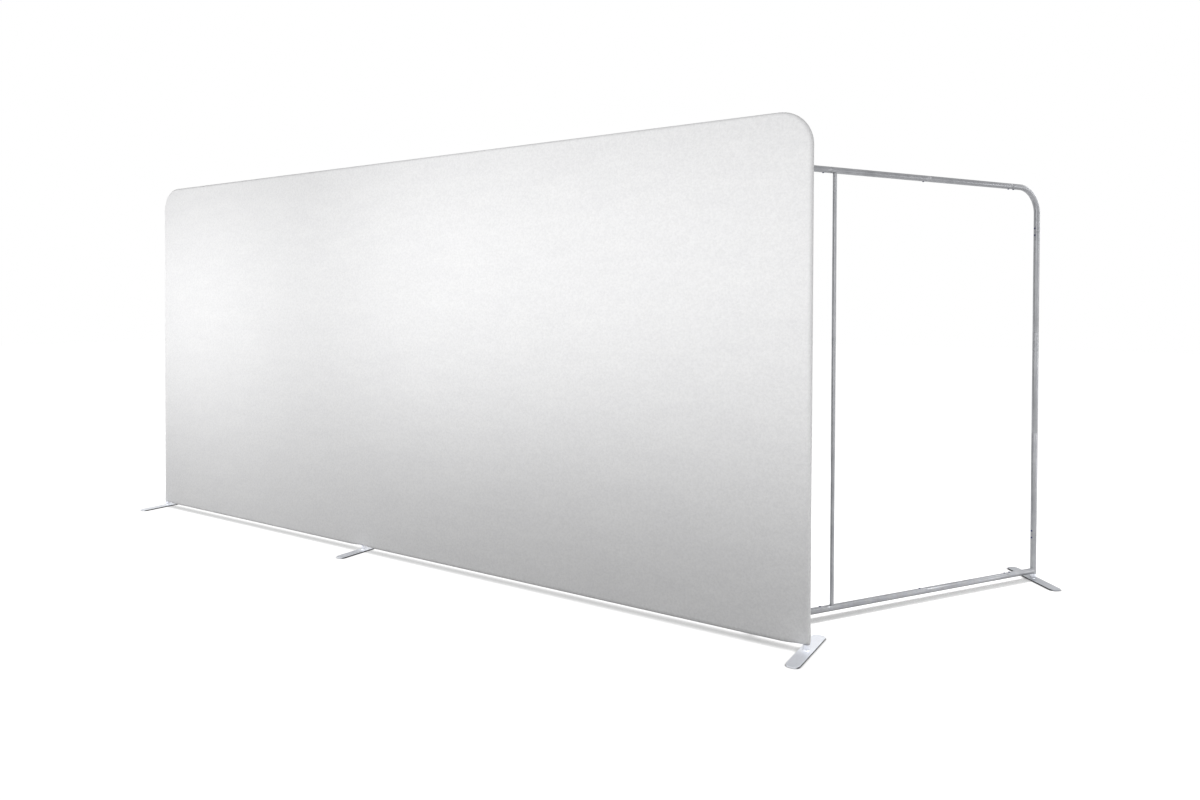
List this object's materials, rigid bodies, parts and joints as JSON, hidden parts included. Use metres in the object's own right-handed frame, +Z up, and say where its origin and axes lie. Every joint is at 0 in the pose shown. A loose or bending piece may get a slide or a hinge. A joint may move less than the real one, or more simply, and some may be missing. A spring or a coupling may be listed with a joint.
{
  "type": "fabric display wall",
  "caption": "Knock-down tube frame display wall with a zipped stretch cover on flat feet, and a bare return frame that swings on clips behind it.",
  "frame": {"origin": "centre of the underside of the middle foot, on the floor", "axes": "+X along the wall to the viewer's right from the front, -Y out of the front of the wall, +Z up"},
  "size_m": [5.6274, 1.9363, 2.286],
  "materials": {
    "tube_aluminium": "drawn and satin anodised",
    "foot_steel": "silver-grey satin powder coat",
    "button_nylon": "dark blue, moulded in one with its spring leaf",
    "cover_fabric": "matt knitted stretch fabric",
    "zip_tape": "woven tape with a moulded coil",
    "zip_metal": "nickel-plated zinc",
    "nylon": "moulded, fine grain"
  },
  "bodies": {
    "wall": {"cover_back_panel": "cover_fabric", "cover_front_panel": "cover_fabric", "left_lower_corner": "tube_aluminium", "left_post_1": "tube_aluminium", "left_post_2": "tube_aluminium", "left_thin_upright": "tube_aluminium", "left_top_bend": "tube_aluminium", "link_clip_lower": "nylon", "link_clip_upper": "nylon", "lower_rail_1": "tube_aluminium", "lower_rail_2": "tube_aluminium", "lower_rail_3": "tube_aluminium", "lower_rail_4": "tube_aluminium", "middle_tee": "tube_aluminium", "middle_thin_upright": "tube_aluminium", "right_lower_corner": "tube_aluminium", "right_post_1": "tube_aluminium", "right_post_2": "tube_aluminium", "right_thin_upright": "tube_aluminium", "right_top_bend": "tube_aluminium", "top_rail_1": "tube_aluminium", "top_rail_2": "tube_aluminium", "top_rail_3": "tube_aluminium", "top_rail_4": "tube_aluminium", "zip_tape": "zip_tape"},
    "return_frame": {"return_floor_glide": "nylon", "return_inner_lower_corner": "tube_aluminium", "return_inner_post_1": "tube_aluminium", "return_inner_post_2": "tube_aluminium", "return_inner_post_3": "tube_aluminium", "return_inner_top_bend": "tube_aluminium", "return_lower_rail_1": "tube_aluminium", "return_lower_rail_2": "tube_aluminium", "return_outer_lower_corner": "tube_aluminium", "return_outer_post_1": "tube_aluminium", "return_outer_post_2": "tube_aluminium", "return_outer_post_3": "tube_aluminium", "return_outer_top_bend": "tube_aluminium", "return_thin_upright": "tube_aluminium", "return_top_rail_1": "tube_aluminium", "return_top_rail_2": "tube_aluminium"},
    "left_foot": {"left_foot": "foot_steel"},
    "middle_foot": {"middle_foot": "foot_steel"},
    "right_foot": {"right_foot": "foot_steel"},
    "return_foot": {"return_foot": "foot_steel"},
    "zip_slider": {"zip_slider": "zip_metal"},
    "zip_pull": {"zip_pull": "zip_metal"},
    "button_lower_corner_1": {"button_lower_corner_1": "button_nylon"},
    "button_lower_corner_2": {"button_lower_corner_2": "button_nylon"},
    "button_lower_rail_inner": {"button_lower_rail_inner": "button_nylon"},
    "button_lower_rail_outer": {"button_lower_rail_outer": "button_nylon"},
    "button_post_foot_1": {"button_post_foot_1": "button_nylon"},
    "button_post_foot_2": {"button_post_foot_2": "button_nylon"},
    "button_post_top_1": {"button_post_top_1": "button_nylon"},
    "button_post_top_2": {"button_post_top_2": "button_nylon"},
    "button_top_corner_1": {"button_top_corner_1": "button_nylon"},
    "button_top_corner_2": {"button_top_corner_2": "button_nylon"},
    "button_top_rail_inner": {"button_top_rail_inner": "button_nylon"},
    "button_top_rail_outer": {"button_top_rail_outer": "button_nylon"}
  },
  "joints": [
    {"name": "left_foot_turn", "type": "hinge", "parent": "wall", "child": "left_foot", "pos_m": [-2.0492, 0, 0.05], "axis": [0, 0, 1], "range_deg": [-90, 90]},
    {"name": "middle_foot_turn", "type": "hinge", "parent": "wall", "child": "middle_foot", "pos_m": [0, 0, 0.05], "axis": [0, 0, 1], "range_deg": [-90, 90]},
    {"name": "right_foot_turn", "type": "hinge", "parent": "wall", "child": "right_foot", "pos_m": [2.6912, 0, 0.05], "axis": [0, 0, 1], "range_deg": [-90, 90]},
    {"name": "return_swing", "type": "hinge", "parent": "wall", "child": "return_frame", "pos_m": [2.419, 0.072, 0.3], "axis": [0, 0, 1], "range_deg": [-50, 115]},
    {"name": "return_foot_turn", "type": "hinge", "parent": "return_frame", "child": "return_foot", "pos_m": [3.41196, 1.58651, 0.05], "axis": [0, 0, 1], "range_deg": [-73, 107]},
    {"name": "zip_slide", "type": "slide", "parent": "wall", "child": "zip_slider", "axis": [1, 0, 0], "range_m": [0, 4.56]},
    {"name": "zip_pull_flip", "type": "hinge", "parent": "zip_slider", "child": "zip_pull", "pos_m": [-1.966, 0.0267, 0.073], "axis": [0, 0, 1], "range_deg": [0, 175]},
    {"name": "button_lower_corner_1_press", "type": "slide", "parent": "return_frame", "child": "button_lower_corner_1", "axis": [0, 0, -1], "range_m": [0, 0.0052], "stiffness_N_per_m": 1500, "springref_m": -0.002},
    {"name": "button_lower_corner_2_press", "type": "slide", "parent": "return_frame", "child": "button_lower_corner_2", "axis": [0, 0, -1], "range_m": [0, 0.0052], "stiffness_N_per_m": 1500, "springref_m": -0.002},
    {"name": "button_lower_rail_inner_press", "type": "slide", "parent": "return_frame", "child": "button_lower_rail_inner", "axis": [0, 0, -1], "range_m": [0, 0.0052], "stiffness_N_per_m": 1500, "springref_m": -0.002},
    {"name": "button_lower_rail_outer_press", "type": "slide", "parent": "return_frame", "child": "button_lower_rail_outer", "axis": [0, 0, -1], "range_m": [0, 0.0052], "stiffness_N_per_m": 1500, "springref_m": -0.002},
    {"name": "button_post_foot_1_press", "type": "slide", "parent": "return_frame", "child": "button_post_foot_1", "axis": [0.5483, 0.8363, 0], "range_m": [0, 0.0052], "stiffness_N_per_m": 1500, "springref_m": -0.002},
    {"name": "button_post_foot_2_press", "type": "slide", "parent": "return_frame", "child": "button_post_foot_2", "axis": [0.5483, 0.8363, 0], "range_m": [0, 0.0052], "stiffness_N_per_m": 1500, "springref_m": -0.002},
    {"name": "button_post_top_1_press", "type": "slide", "parent": "return_frame", "child": "button_post_top_1", "axis": [0.5483, 0.8363, 0], "range_m": [0, 0.0052], "stiffness_N_per_m": 1500, "springref_m": -0.002},
    {"name": "button_post_top_2_press", "type": "slide", "parent": "return_frame", "child": "button_post_top_2", "axis": [0.5483, 0.8363, 0], "range_m": [0, 0.0052], "stiffness_N_per_m": 1500, "springref_m": -0.002},
    {"name": "button_top_corner_1_press", "type": "slide", "parent": "return_frame", "child": "button_top_corner_1", "axis": [0, 0, 1], "range_m": [0, 0.0052], "stiffness_N_per_m": 1500, "springref_m": -0.002},
    {"name": "button_top_corner_2_press", "type": "slide", "parent": "return_frame", "child": "button_top_corner_2", "axis": [0, 0, 1], "range_m": [0, 0.0052], "stiffness_N_per_m": 1500, "springref_m": -0.002},
    {"name": "button_top_rail_inner_press", "type": "slide", "parent": "return_frame", "child": "button_top_rail_inner", "axis": [0, 0, 1], "range_m": [0, 0.0052], "stiffness_N_per_m": 1500, "springref_m": -0.002},
    {"name": "button_top_rail_outer_press", "type": "slide", "parent": "return_frame", "child": "button_top_rail_outer", "axis": [0, 0, 1], "range_m": [0, 0.0052], "stiffness_N_per_m": 1500, "springref_m": -0.002}
  ]
}
